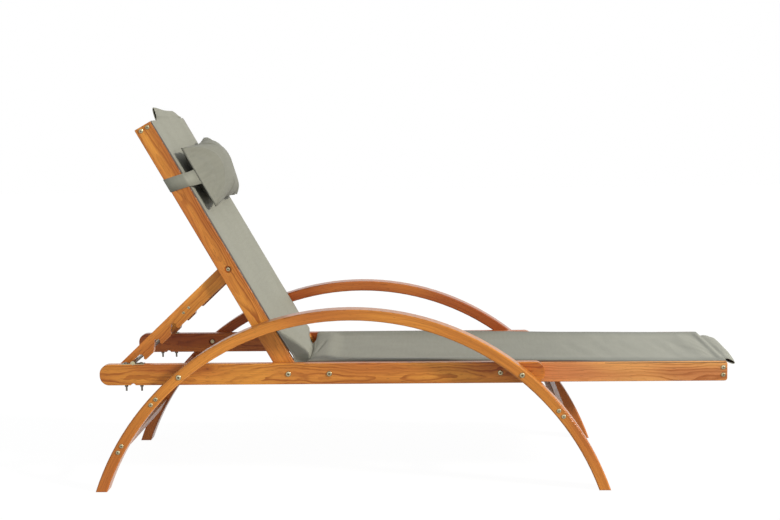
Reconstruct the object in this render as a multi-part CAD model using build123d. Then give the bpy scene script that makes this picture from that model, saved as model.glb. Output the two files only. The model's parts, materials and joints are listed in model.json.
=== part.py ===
from build123d import *
import math
import os

# A reclining garden lounger in stained softwood: two laminated arches are legs and armrests, two
# base rails hang between them, a fixed leg frame reaches forward, and a backrest turns on bolts at
# the hip. A notched strut frame behind the backrest hooks on a steel rod that lies on the rails.
# Side views are drawn from the hip pivot: +X points to the foot end, +Z up, Y across. The side
# towards -Y is called near, the other far. All sizes are in millimetres.

# Overall sizes
overall_width = 740.0
pivot_height = 359.6
armrest_height = 570.0

# Laminated arches, each a leg pair and an armrest in one
arch_radius = 849.0
arch_thickness = 34.0
arch_width = 62.0
arch_centre_x = 195.7
arch_edge_radius = 4.0
arch_bolt_rise = 3.4

# Base rails, inside the arches
base_rail_height = 66.0
base_rail_thickness = 28.0
base_rail_head_end = -594.7
base_rail_foot_end = 798.7
base_rail_end_radius = 30.0
rail_edge_radius = 2.5

# Leg frame that carries the seat
seat_rail_height = 62.0
seat_rail_thickness = 28.0
seat_rail_drop = 5.0
seat_rail_start = 44.0
seat_rail_end = 1365.8
seat_rail_corner = 9.0
seat_bolt_from_hip = 128.2
seat_bolt_before_arch = 64.0
foot_crossbar_thickness = 26.0
foot_crossbar_height = 46.0

# Backrest frame
back_angle = 60.5
back_flat_angle = 8.6
back_rail_length = 892.6
back_rail_width = 58.0
back_rail_thickness = 28.0
back_crossbar_thickness = 24.0
back_crossbar_width = 46.0
side_gap = 1.0

# Strut frame behind the backrest
strut_pivot_along = 375.9
strut_length = 482.0
strut_width = 48.0
strut_thickness = 28.0
strut_finger_width = 22.5
strut_end_radius = 8.0
rod_side_gap = 0.6
hook_pitch = 73.4
hook_count = 3
hook_seat_radius = 9.5
hook_overhang = 5.0
hook_tip_height = 11.0
hook_tip_radius = 5.0
hook_floor_length = 1.0
hook_ramp_angle = 38.0
hook_gap = 21.0
strut_crossbar_along = 193.0
strut_crossbar_width = 48.0
strut_crossbar_thickness = 20.0

# Support rod and the saddle plates that hold it on the base rails
rod_radius = 5.5
rod_x = -489.0
rod_groove_depth = 2.5
rod_inset = 3.0
store_notch_radius = 8.2
store_notch_depth = 5.8
saddle_length = 70.0
saddle_width = 23.0
saddle_thickness = 2.0
saddle_bolt_spacing = 48.6
saddle_bolt_below = 19.5

# Cross bars between the legs: how far their middles lie below the base rails
head_upper_bar_drop = 40.8
head_lower_bar_drop = 189.6
foot_bar_drop = 84.3
leg_bar_width = 48.0
leg_bar_thickness = 20.0

# Fasteners
m8_radius = 4.0
pivot_radius = 5.0
screw_radius = 2.5
leg_screw_radius = 3.0
saddle_bolt_radius = 3.0
shank_clearance = 0.05
big_head_radius = 8.5
big_head_height = 3.4
screw_head_radius = 7.0
screw_head_height = 2.4
screw_spacing = 23.4
screw_bite = 34.0
counterbore_radius = 11.5
counterbore_depth = 7.5
m8_nut_radius = 7.5
pivot_nut_radius = 9.2
nut_height = 5.0
washer_radius = 11.0
turning_clearance = 0.1

# Sling cloth and its hems
cloth_thickness = 2.0
cloth_edge_inset = 18.0
hem_groove_width = 4.0
hem_groove_depth = 7.0
hem_groove_stop = 16.0
soft_clearance = 0.3
flap_length = 36.0
foot_flap_droop = 13.0
head_flap_droop = -8.0
foot_flap_inset_near = 22.0
foot_flap_inset_far = 80.0
head_flap_inset_near = 78.0
head_flap_inset_far = 28.0
flap_bulge = 4.0
hip_curl_radius = 26.0
hip_curl_clearance = 3.0
back_sling_start = 16.0

# Head pillow and its straps
pillow_centre_along = 671.0
pillow_height = 220.0
pillow_end_inset = 21.0
pillow_thickness = 96.0
pillow_seam_rise = 29.0
pillow_seam_thickness = 7.0
strap_width = 46.0
strap_thickness = 1.5
strap_rear_reach = 24.0
strap_shift = 13.0
bolt_end = 1.0

# Places that follow from the sizes above
arch_centre_z = armrest_height - arch_radius
arch_mid_radius = arch_radius - arch_thickness / 2
arch_outer_y = overall_width / 2
arch_inner_y = arch_outer_y - arch_width
base_inner_y = arch_inner_y - base_rail_thickness
base_top = pivot_height + base_rail_height / 2
base_bottom = pivot_height - base_rail_height / 2
seat_inner_y = base_inner_y - seat_rail_thickness
seat_centre_z = pivot_height - seat_rail_drop
seat_top = seat_centre_z + seat_rail_height / 2
back_outer_y = base_inner_y - side_gap
back_inner_y = back_outer_y - back_rail_thickness
strut_outer_y = back_inner_y - side_gap
strut_inner_y = strut_outer_y - strut_thickness
rod_z = base_top - rod_groove_depth + rod_radius
saddle_y = -(arch_inner_y + base_inner_y) / 2
saddle_bolt_x = [rod_x - saddle_bolt_spacing / 2, rod_x + saddle_bolt_spacing / 2]
cloth_edge_y = back_outer_y - cloth_edge_inset
pillow_half_width = cloth_edge_y - pillow_end_inset


def direction(degrees):
    """A unit vector in the side view, anticlockwise from +X."""
    return Vector(math.cos(math.radians(degrees)), 0, math.sin(math.radians(degrees)))


def side_frame(origin_x, origin_z, degrees, flipped=False):
    """A side-view frame whose local x points along the given direction."""
    along = direction(degrees)
    return Plane((origin_x, 0, origin_z), x_dir=along, z_dir=(0, 1, 0) if flipped else (0, -1, 0))


world = side_frame(0, 0, 0)
hip = side_frame(0, pivot_height, 0)
back = side_frame(0, pivot_height, 180 - back_angle, flipped=True)


def place(frame, x, y_across, local_y=0.0):
    """A point of a side-view frame, set at y_across."""
    point = frame.from_local_coords(Vector(x, local_y, 0))
    return Vector(point.X, y_across, point.Z)


def slab(frame, outline, y_low, y_high):
    """Extrudes an outline of a side-view frame across the chair."""
    origin = (frame.origin.X, y_low, frame.origin.Z)
    sketch = Plane(origin, x_dir=frame.x_dir, z_dir=frame.z_dir) * outline
    return extrude(sketch, amount=y_high - y_low, dir=(0, 1, 0))


def round_bar(point, radius, y_low, y_high):
    """A round bar across the chair, through a point of the side view."""
    end = Plane((point.X, y_low, point.Z), x_dir=(1, 0, 0), z_dir=(0, 1, 0))
    return extrude(end * Circle(radius), amount=y_high - y_low)


def box_outline(x_low, x_high, y_low, y_high):
    """A rectangle given by its limits."""
    middle = ((x_low + x_high) / 2, (y_low + y_high) / 2)
    return Pos(*middle) * Rectangle(x_high - x_low, y_high - y_low)


def soften(solid, radius):
    """Rounds the edges of the two broad side faces."""
    faces = solid.faces().sort_by(Axis.Y)
    return fillet(faces[0].edges() + faces[-1].edges(), radius)


def far(shape):
    """The same piece on the far side."""
    return mirror(shape, about=Plane.XZ)


def both(solids):
    """Near solids and their far twins, as one group."""
    return Compound(children=list(solids) + [far(s) for s in solids])


def headed(point, y_face, y_end, radius, head_radius, head_height):
    """A near-side bolt or screw: a pan head on y_face and a shank that runs in to y_end."""
    head = round_bar(point, head_radius, y_face - head_height, y_face)
    head = fillet(head.faces().sort_by(Axis.Y)[0].edges(), head_height * 0.6)
    return head + round_bar(point, radius, y_face, y_end)


def ring(point, outer, inner, y_low, y_high):
    """A washer."""
    return round_bar(point, outer, y_low, y_high) - round_bar(point, inner, y_low, y_high)


def hexagon_nut(point, corner_radius, inner, y_low, y_high):
    """A nut with six flats, its corners eased by a cone on both faces."""
    end = Plane((point.X, y_low, point.Z), x_dir=(1, 0, 0), z_dir=(0, 1, 0))
    body = extrude(end * RegularPolygon(corner_radius, 6), amount=y_high - y_low)
    eased = round_bar(point, corner_radius, y_low, y_high)
    eased = chamfer(eased.edges().filter_by(GeomType.CIRCLE), corner_radius * 0.12)
    return (body & eased) - round_bar(point, inner, y_low, y_high)


def bore(point, radius, y_low, y_high):
    """The hole that a shank of this radius passes through."""
    return round_bar(point, radius + shank_clearance, y_low, y_high)


def nut_pocket(point, y_high):
    """A round pocket for a nut or bolt head, its inward end at y_high."""
    return round_bar(point, counterbore_radius, y_high - counterbore_depth, y_high)


def arch_point(degrees, radius=arch_mid_radius):
    """A point of the arch, at an angle from its top."""
    turn = math.radians(degrees)
    return Vector(arch_centre_x + radius * math.sin(turn), 0, arch_centre_z + radius * math.cos(turn))


def arch_angle(height):
    """The angle from the arch's top at which its middle line is at this height."""
    return math.degrees(math.acos((height - arch_centre_z) / arch_mid_radius))


def leg_bar_frame(degrees):
    """The frame of a leg cross bar: local x runs down the leg."""
    point = arch_point(degrees)
    heading = -degrees if degrees > 0 else 180 - degrees
    return side_frame(point.X, point.Z, heading)


def screw_pair(frame, middle_x, middle_y, along_x):
    """The two screw points of a cross bar, spaced along one local axis."""
    half = screw_spacing / 2
    offsets = [(-half, 0), (half, 0)] if along_x else [(0, -half), (0, half)]
    return [place(frame, middle_x + dx, 0, middle_y + dy) for dx, dy in offsets]


leg_bar_angles = {
    "leg_bar_head_upper": -arch_angle(base_bottom - head_upper_bar_drop),
    "leg_bar_head_lower": -arch_angle(base_bottom - head_lower_bar_drop),
    "leg_bar_foot": arch_angle(base_bottom - foot_bar_drop),
}
leg_bar_screw_points = [
    p for angle in leg_bar_angles.values() for p in screw_pair(leg_bar_frame(angle), 0, 0, True)
]
arch_bolt_angle = arch_angle(pivot_height + arch_bolt_rise)
arch_bolt_points = [arch_point(-arch_bolt_angle), arch_point(arch_bolt_angle)]
seat_bolt_x = [seat_bolt_from_hip, arch_bolt_points[-1].X - seat_bolt_before_arch]
seat_bolt_points = [Vector(x, 0, pivot_height) for x in seat_bolt_x]
pivot_point = Vector(0, 0, pivot_height)
strut_pivot = place(back, strut_pivot_along, 0)
foot_crossbar_x = seat_rail_end - foot_crossbar_thickness / 2
foot_screw_points = screw_pair(side_frame(0, seat_centre_z, 0), foot_crossbar_x, 0, False)
back_crossbar_along = back_rail_length - back_crossbar_thickness / 2
back_screw_points = screw_pair(back, back_crossbar_along, 0, False)
rod_point = Vector(rod_x, 0, rod_z)

# The strut leans so that the floor of its last notch lies on the rod.
notch_floor = strut_finger_width - strut_width / 2
rod_depth = notch_floor + rod_side_gap + rod_radius
to_rod = rod_point - strut_pivot
rod_reach = math.hypot(to_rod.X, to_rod.Z)
rod_heading = 180 + math.degrees(math.atan2(-to_rod.Z, -to_rod.X))
strut_heading = rod_heading - math.degrees(math.asin(rod_depth / rod_reach))
strut = side_frame(strut_pivot.X, strut_pivot.Z, strut_heading)
rod_along_strut = math.sqrt(rod_reach ** 2 - rod_depth ** 2)
strut_screw_points = screw_pair(strut, strut_crossbar_along, 0, True)
last_hook = rod_along_strut - rod_radius - hook_gap
hook_places = [last_hook - hook_pitch * step for step in reversed(range(hook_count))]


def make_arch():
    """One arch: a ring segment cut level with the floor."""
    ring_face = Circle(arch_radius) - Circle(arch_radius - arch_thickness)
    centre = side_frame(arch_centre_x, arch_centre_z, 0)
    above_floor = box_outline(-arch_radius, arch_radius, -arch_centre_z, arch_radius * 2)
    arch = slab(centre, ring_face & above_floor, -arch_outer_y, -arch_inner_y)
    arch = soften(arch, arch_edge_radius)
    cuts = [bore(p, m8_radius, -arch_outer_y, -arch_inner_y) for p in arch_bolt_points]
    cuts += [bore(p, leg_screw_radius, -arch_outer_y, -arch_inner_y) for p in leg_bar_screw_points]
    return arch - cuts


def make_base_rail():
    """One base rail with its rod groove, the matching notch below, and its bolt holes."""
    half = base_rail_height / 2
    outline = box_outline(base_rail_head_end, base_rail_foot_end, -half, half)
    outline = fillet(outline.vertices(), base_rail_end_radius)
    rail = soften(slab(hip, outline, -arch_inner_y, -base_inner_y), rail_edge_radius)
    notch = Vector(rod_x, 0, base_bottom + store_notch_depth - store_notch_radius)
    cuts = [
        bore(rod_point, rod_radius, -arch_inner_y, -base_inner_y),
        round_bar(notch, store_notch_radius, -arch_inner_y, -base_inner_y),
        bore(pivot_point, pivot_radius, -arch_inner_y, -base_inner_y),
    ]
    for point in arch_bolt_points + seat_bolt_points:
        cuts.append(bore(point, m8_radius, -arch_inner_y, -base_inner_y))
    for point in arch_bolt_points:
        cuts.append(nut_pocket(point, -base_inner_y))
    for x in saddle_bolt_x:
        radius = saddle_bolt_radius + shank_clearance
        cuts.append(Pos(x, saddle_y, pivot_height) * Cylinder(radius, base_rail_height * 2))
    return rail - cuts


def hem_groove(frame, x_low, x_high, surface):
    """The near-side groove that holds the edge of the sling, in the face at local y = surface."""
    y_low = -cloth_edge_y - hem_groove_width / 2
    groove = box_outline(x_low, x_high, surface - hem_groove_depth, surface + hem_groove_depth)
    return slab(frame, groove, y_low, y_low + hem_groove_width)


def make_seat_rail():
    """One rail of the leg frame."""
    half = seat_rail_height / 2
    outline = box_outline(seat_rail_start, seat_rail_end, -half, half)
    outline = fillet(outline.vertices(), seat_rail_corner)
    frame = side_frame(0, seat_centre_z, 0)
    rail = soften(slab(frame, outline, -base_inner_y, -seat_inner_y), rail_edge_radius)
    groove_start, groove_end = seat_rail_start + hem_groove_stop, seat_rail_end - hem_groove_stop
    cuts = [hem_groove(frame, groove_start, groove_end, half)]
    for point in seat_bolt_points:
        cuts.append(bore(point, m8_radius, -base_inner_y, -seat_inner_y))
        cuts.append(nut_pocket(point, -seat_inner_y))
    for point in foot_screw_points:
        cuts.append(bore(point, screw_radius, -base_inner_y, -seat_inner_y))
    return rail - cuts


def make_back_rail():
    """One backrest rail: round at the hip, square at the head."""
    half = back_rail_width / 2
    outline = box_outline(0, back_rail_length, -half, half)
    outline = fillet(outline.vertices().group_by(Axis.X)[-1], rail_edge_radius) + Circle(half)
    rail = soften(slab(back, outline, -back_outer_y, -back_inner_y), rail_edge_radius)
    groove_start, groove_end = back_sling_start + hem_groove_stop, back_rail_length - hem_groove_stop
    cuts = [
        hem_groove(back, groove_start, groove_end, half),
        bore(pivot_point, pivot_radius, -back_outer_y, -back_inner_y),
        bore(strut_pivot, m8_radius, -back_outer_y, -back_inner_y),
        nut_pocket(strut_pivot, -back_outer_y + counterbore_depth),
    ]
    for point in back_screw_points:
        cuts.append(bore(point, screw_radius, -back_outer_y, -back_inner_y))
    return rail - cuts


def hook_outline(start, is_last):
    """One hook notch, open on the strut's lower edge.

    A round seat lies behind the hook's overhanging tip. From the seat's floor a ramp climbs to the
    lower edge, except in the last notch, whose floor runs out along the straight finger.
    """
    half = strut_width / 2
    seat_x, seat_y = start + hook_seat_radius, notch_floor + hook_seat_radius
    tip_x, outside = start + hook_overhang, half + hook_seat_radius
    floor_end = seat_x + hook_floor_length
    if is_last:
        run_out = [(strut_length + outside, notch_floor), (strut_length + outside, outside)]
    else:
        ramp_run = (outside - notch_floor) / math.tan(math.radians(hook_ramp_angle))
        run_out = [(floor_end, notch_floor), (floor_end + ramp_run, outside)]
    void = Polyline(
        (seat_x, notch_floor),
        *run_out,
        (tip_x, outside),
        (tip_x, half - hook_tip_height),
        (start, seat_y),
        (seat_x, seat_y),
        close=True,
    )
    return make_face(void) + Pos(seat_x, seat_y) * Circle(hook_seat_radius)


def make_strut():
    """One strut: round at its pivot, with hook notches along the lower edge."""
    half = strut_width / 2
    outline = box_outline(0, strut_length, -half, half) + Circle(half)
    for start in hook_places:
        outline -= hook_outline(start, start == hook_places[-1])
    tips = [
        corner
        for corner in outline.vertices()
        for start in hook_places
        if abs(corner.Y - half) < 0.01 and abs(corner.X - start - hook_overhang) < 0.01
    ]
    outline = fillet(tips, hook_tip_radius)
    outline = fillet(outline.vertices().group_by(Axis.X)[-1], strut_end_radius)
    cuts = [countersunk(point, shank_clearance) for point in strut_screw_points]
    cuts.append(bore(strut_pivot, m8_radius, -strut_outer_y, -strut_inner_y))
    return slab(strut, outline, -strut_outer_y, -strut_inner_y) - cuts


def countersunk(point, extra=0.0):
    """A flush near-side screw from the strut's outer face, or with extra its hole."""
    face = -strut_outer_y
    radius = screw_radius + extra
    cone_depth = screw_radius
    plane = Plane((point.X, face, point.Z), x_dir=(1, 0, 0), z_dir=(0, 1, 0))
    head = loft([plane * Circle(radius * 2), plane.offset(cone_depth) * Circle(radius)])
    return head + round_bar(point, radius, face + cone_depth, face + strut_thickness + screw_bite)


def crossbar(frame, x_middle, y_middle, x_size, y_size, half_length, screws, radius):
    """A wooden bar across the chair, with screw holes in its two ends."""
    outline = box_outline(
        x_middle - x_size / 2, x_middle + x_size / 2, y_middle - y_size / 2, y_middle + y_size / 2
    )
    bar = slab(frame, fillet(outline.vertices(), rail_edge_radius), -half_length, half_length)
    holes = [bore(point, radius, -half_length, -half_length + screw_bite + bolt_end) for point in screws]
    return bar - holes - [far(hole) for hole in holes]


def make_saddle():
    """The near saddle plate: a strip with a hump over the rod and two bolt holes."""
    centre = side_frame(rod_x, base_top, 0)
    rise = rod_z - base_top
    hump = Pos(0, rise) * Circle(rod_radius + shank_clearance + saddle_thickness)
    strip = box_outline(-saddle_length / 2, saddle_length / 2, 0, saddle_thickness)
    outline = strip + (hump & box_outline(-saddle_length, saddle_length, 0, saddle_length))
    outline -= Pos(0, rise) * Circle(rod_radius + shank_clearance)
    plate = slab(centre, outline, saddle_y - saddle_width / 2, saddle_y + saddle_width / 2)
    for x in saddle_bolt_x:
        plate -= Pos(x, saddle_y, base_top) * Cylinder(
            saddle_bolt_radius + shank_clearance, saddle_length
        )
    return plate


def saddle_bolt(x):
    """An upright bolt through the saddle plate and the base rail."""
    top = base_top + saddle_thickness
    bottom = base_bottom - saddle_bolt_below
    shank = Pos(x, saddle_y, (top + bottom) / 2) * Cylinder(saddle_bolt_radius, top - bottom)
    head = Pos(x, saddle_y, top + big_head_height / 2) * Cylinder(
        saddle_bolt_radius * 2, big_head_height
    )
    head = fillet(head.faces().sort_by(Axis.Z)[-1].edges(), big_head_height * 0.6)
    return shank + head


def saddle_nut(x):
    """A hexagon nut on its washer, under the base rail."""
    washer = Pos(x, saddle_y, base_bottom - 0.6) * Cylinder(saddle_bolt_radius * 2.3, 1.2)
    nut = extrude(
        Pos(x, saddle_y, base_bottom - 1.2 - nut_height)
        * RegularPolygon(saddle_bolt_radius * 1.9, 6),
        amount=nut_height,
    )
    return washer + nut - Pos(x, saddle_y, base_bottom) * Cylinder(
        saddle_bolt_radius + shank_clearance, nut_height * 4
    )


def flap_outline(x, y, length, droop, thickness):
    """The empty hem that stands past an end bar: a thin lens that hangs a little."""
    root_low = (x, y - thickness)
    tip = (x + length, y - droop)
    top = ThreePointArc((x, y), (x + length / 2, y - droop / 3 + flap_bulge * 0.3), tip)
    low = ThreePointArc(tip, (x + length / 2, y - droop / 2 - flap_bulge), root_low)
    return make_face(Curve() + [top, low, Line(root_low, (x, y))])


def make_sling(frame, x_low, x_high, surface, droop, inset_near, inset_far):
    """A stretched sling: edge hems in the rail grooves and an empty hem past the end bar."""
    top = surface + cloth_thickness
    sheet = slab(frame, box_outline(x_low, x_high, surface, top), -cloth_edge_y, cloth_edge_y)
    flap = flap_outline(x_high, top, flap_length, droop, cloth_thickness)
    sheet += slab(frame, flap, inset_near - cloth_edge_y, cloth_edge_y - inset_far)
    lip_half = hem_groove_width / 2 - soft_clearance
    lip = box_outline(
        x_low + hem_groove_stop + soft_clearance,
        x_high - hem_groove_stop - soft_clearance,
        surface - hem_groove_depth + soft_clearance,
        top,
    )
    near_lip = slab(frame, lip, -cloth_edge_y - lip_half, -cloth_edge_y + lip_half)
    return sheet + near_lip + far(near_lip)


def make_hip_curl():
    """The seat sling's start, curled down between the backrest rails."""
    top = seat_top + cloth_thickness
    centre = Pos(seat_rail_start, top - hip_curl_radius)
    band = centre * Circle(hip_curl_radius) - centre * Circle(hip_curl_radius - cloth_thickness)
    quarter = box_outline(seat_rail_start - hip_curl_radius, seat_rail_start, top - hip_curl_radius, top)
    width = back_inner_y - hip_curl_clearance
    return slab(world, band & quarter, -width, width)


def pillow_section(half_height, crown, floor, seam_y, y_across):
    """A cross section of the pillow: a full front, fullest low down, a flatter back and thin seams."""
    half_seam = pillow_seam_thickness / 2
    low, high = pillow_centre_along - half_height, pillow_centre_along + half_height
    rise = crown - seam_y
    front = Spline(
        (low, seam_y + half_seam),
        (low + half_height * 0.2, seam_y + rise * 0.72),
        (pillow_centre_along - half_height * 0.1, crown),
        (high - half_height * 0.25, seam_y + rise * 0.6),
        (high, seam_y + half_seam),
    )
    rear = ThreePointArc((high, seam_y - half_seam), (pillow_centre_along, floor), (low, seam_y - half_seam))
    left = Line((low, seam_y - half_seam), (low, seam_y + half_seam))
    right = Line((high, seam_y + half_seam), (high, seam_y - half_seam))
    plane = Plane((back.origin.X, y_across, back.origin.Z), x_dir=back.x_dir, z_dir=back.z_dir)
    return plane * make_face(Curve() + [front, right, rear, left])


def make_pillow():
    """The head pillow: thick in the middle, drawn in at its corners and closed by end seams."""
    floor = back_rail_width / 2 + cloth_thickness + soft_clearance
    seam_y = floor + pillow_seam_rise
    # share of the half width, share of the height, share of the thickness above and below the seam
    stations = [(1.0, 0.985, 0.14), (0.82, 0.93, 0.72), (0.45, 0.975, 0.97), (0.0, 1.0, 1.0)]
    stations = [(-s, h, t) for s, h, t in stations] + [(s, h, t) for s, h, t in stations[-2::-1]]
    sections = []
    for share, height, fill in stations:
        crown = seam_y + (pillow_thickness - pillow_seam_rise) * fill
        low = seam_y - pillow_seam_rise * fill
        sections.append(
            pillow_section(pillow_height / 2 * height, crown, low, seam_y, pillow_half_width * share)
        )
    return loft(sections)


def make_strap():
    """The near strap: from the pillow's end over the rail's front edge and round its back."""
    rail_half = back_rail_width / 2
    gap, thick = soft_clearance, strap_thickness
    seam = rail_half + cloth_thickness + soft_clearance + pillow_seam_rise
    start_y = pillow_half_width + soft_clearance
    inner_side = back_outer_y + gap
    outer_side = inner_side + thick
    front, rear = rail_half + gap, -rail_half - gap
    section = Polyline(
        (start_y, seam - thick),
        (inner_side, front),
        (inner_side, rear),
        (back_outer_y - strap_rear_reach, rear),
        (back_outer_y - strap_rear_reach, rear - thick),
        (outer_side, rear - thick),
        (outer_side, front + thick),
        (start_y, seam + thick),
        close=True,
    )
    # local x of this plane points to the near side and local y away from the backrest
    start = place(back, pillow_centre_along - strap_width / 2 + strap_shift, 0)
    plane = Plane((start.X, 0, start.Z), x_dir=(0, -1, 0), z_dir=back.x_dir)
    return extrude(plane * make_face(section), amount=strap_width, dir=back.x_dir)


def make_bolts(points, y_face, y_end, radius, head_radius, head_height):
    """A near group of equal bolts and its far twin group."""
    return both([headed(p, y_face, y_end, radius, head_radius, head_height) for p in points])


def make_rings(points, outer, inner, y_low, y_high):
    """Near washers and their far twins."""
    return both([ring(p, outer, inner + shank_clearance, y_low, y_high) for p in points])


def make_nuts(points, corner_radius, bolt_radius, y_low):
    """Near nuts and their far twins."""
    inner, y_high = bolt_radius + shank_clearance, y_low + nut_height
    return both([hexagon_nut(p, corner_radius, inner, y_low, y_high) for p in points])


parts = {}

arch = make_arch()
base_rail = make_base_rail()
seat_rail = make_seat_rail()
parts["arch_near"], parts["arch_far"] = arch, far(arch)
parts["base_rail_near"], parts["base_rail_far"] = base_rail, far(base_rail)
parts["seat_rail_near"], parts["seat_rail_far"] = seat_rail, far(seat_rail)
parts["foot_crossbar"] = crossbar(
    side_frame(0, seat_centre_z, 0), foot_crossbar_x, 0,
    foot_crossbar_thickness, foot_crossbar_height, seat_inner_y, foot_screw_points, screw_radius,
)
for name, angle in leg_bar_angles.items():
    bar_frame = leg_bar_frame(angle)
    parts[name] = crossbar(
        bar_frame, 0, 0, leg_bar_width, leg_bar_thickness, arch_inner_y,
        screw_pair(bar_frame, 0, 0, True), leg_screw_radius,
    )
parts["support_rod"] = round_bar(
    rod_point, rod_radius, rod_inset - arch_inner_y, arch_inner_y - rod_inset
)
parts["rod_saddles"] = both([make_saddle()])
parts["saddle_bolts"] = both([saddle_bolt(x) for x in saddle_bolt_x])
parts["saddle_nuts"] = both([saddle_nut(x) for x in saddle_bolt_x])

# Fasteners of the base
arch_nut_y = -base_inner_y - counterbore_depth
seat_nut_y = -seat_inner_y - counterbore_depth
pivot_nut_y = -back_inner_y + turning_clearance
parts["arch_bolts"] = make_bolts(
    arch_bolt_points, -arch_outer_y, arch_nut_y + nut_height + bolt_end, m8_radius,
    big_head_radius, big_head_height,
)
parts["arch_nuts"] = make_nuts(arch_bolt_points, m8_nut_radius, m8_radius, arch_nut_y)
parts["seat_rail_bolts"] = make_bolts(
    seat_bolt_points, -arch_inner_y, seat_nut_y + nut_height + bolt_end, m8_radius,
    big_head_radius, big_head_height,
)
parts["seat_rail_nuts"] = make_nuts(seat_bolt_points, m8_nut_radius, m8_radius, seat_nut_y)
parts["pivot_bolts"] = make_bolts(
    [pivot_point], -arch_inner_y, pivot_nut_y + nut_height + bolt_end, pivot_radius,
    big_head_radius, big_head_height,
)
parts["pivot_washers"] = make_rings(
    [pivot_point], washer_radius, pivot_radius, -base_inner_y, -back_outer_y - turning_clearance
)
parts["pivot_nuts"] = make_nuts([pivot_point], pivot_nut_radius, pivot_radius, pivot_nut_y)
parts["leg_bar_screws"] = make_bolts(
    leg_bar_screw_points, -arch_outer_y, -arch_inner_y + screw_bite, leg_screw_radius,
    screw_head_radius, screw_head_height,
)
parts["foot_crossbar_screws"] = make_bolts(
    foot_screw_points, -base_inner_y, -seat_inner_y + screw_bite, screw_radius,
    screw_head_radius, screw_head_height,
)
parts["seat_sling"] = make_hip_curl() + make_sling(
    world, seat_rail_start, seat_rail_end, seat_top, foot_flap_droop,
    foot_flap_inset_near, foot_flap_inset_far,
)

# Backrest
back_rail = make_back_rail()
parts["back_rail_near"], parts["back_rail_far"] = back_rail, far(back_rail)
parts["back_top_crossbar"] = crossbar(
    back, back_crossbar_along, 0, back_crossbar_thickness, back_crossbar_width,
    back_inner_y, back_screw_points, screw_radius,
)
parts["back_crossbar_screws"] = make_bolts(
    back_screw_points, -back_outer_y, -back_inner_y + screw_bite, screw_radius,
    screw_head_radius, screw_head_height,
)
parts["back_sling"] = make_sling(
    back, back_sling_start, back_rail_length, back_rail_width / 2, head_flap_droop,
    head_flap_inset_near, head_flap_inset_far,
)

# Strut frame and the bolts that it turns on
strut_nut_y = -strut_inner_y + turning_clearance
parts["strut_bolts"] = make_bolts(
    [strut_pivot], -back_outer_y + counterbore_depth, strut_nut_y + nut_height + bolt_end, m8_radius,
    screw_head_radius, nut_height,
)
parts["strut_washers"] = make_rings(
    [strut_pivot], washer_radius, m8_radius, -back_inner_y, -strut_outer_y - turning_clearance
)
parts["strut_nuts"] = make_nuts([strut_pivot], m8_nut_radius, m8_radius, strut_nut_y)
strut_body = make_strut()
parts["strut_near"], parts["strut_far"] = strut_body, far(strut_body)
parts["strut_crossbar"] = crossbar(
    strut, strut_crossbar_along, 0, strut_crossbar_width, strut_crossbar_thickness,
    strut_inner_y, strut_screw_points, screw_radius,
)
parts["strut_crossbar_screws"] = both([countersunk(p) for p in strut_screw_points])

# Head pillow
strap = make_strap()
parts["pillow"] = make_pillow()
parts["pillow_strap_near"], parts["pillow_strap_far"] = strap, far(strap)

# The origin moves to the middle of the floor under the whole lounger.
boxes = [shape.bounding_box() for shape in parts.values()]
shift_x = -(min(box.min.X for box in boxes) + max(box.max.X for box in boxes)) / 2
os.makedirs("parts", exist_ok=True)
for name, shape in parts.items():
    export_step(Pos(shift_x, 0, 0) * shape, f"parts/{name}.step")

# Joint places and ranges, for the record
for name, point in (("pivot", pivot_point), ("strut_pivot", strut_pivot), ("rod", rod_point)):
    print(name, round(point.X + shift_x, 3), round(point.Z, 3))
fold = strut_heading - (180 - back_angle)
print("recline", back_angle - back_flat_angle, "strut fold", round(fold, 4))
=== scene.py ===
# %% [markdown]
# # A reclining garden lounger
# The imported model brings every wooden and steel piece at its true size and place. This file dresses
# it: stained softwood, zinc-plated steel, a sewn sling, a stuffed head pillow with its straps, and
# plain studio light. Lengths are in metres. +X points to the foot end, +Y to the far side, +Z up.

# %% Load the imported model
import json
import math

import bmesh
import bpy
import numpy as np
from mathutils import Matrix, Vector, noise

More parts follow.
